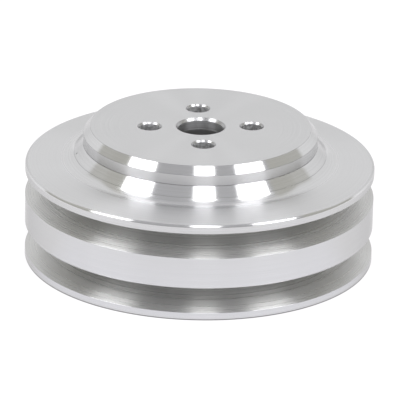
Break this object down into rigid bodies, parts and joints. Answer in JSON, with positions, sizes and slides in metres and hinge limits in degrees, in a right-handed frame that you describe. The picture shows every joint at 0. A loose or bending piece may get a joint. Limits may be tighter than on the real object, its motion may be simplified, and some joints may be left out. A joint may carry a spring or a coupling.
{
  "type": "v-belt pulley",
  "caption": "Stepped V-belt pulley turned from one aluminium billet, with a raised hub nose, a pilot bore, a circle of bolt holes, belt grooves and a hollow back.",
  "frame": {"origin": "on the shaft axis, at the rear face that the pulley stands on", "axes": "+Z along the shaft axis, from the rear face to the hub nose; the bolt holes lie on +X, -X, +Y and -Y"},
  "size_m": [0.1524, 0.1524, 0.059],
  "materials": {
    "turned_aluminium": "fine turned, clear"
  },
  "bodies": {
    "root": {"pulley_body": "turned_aluminium"}
  },
  "joints": []
}
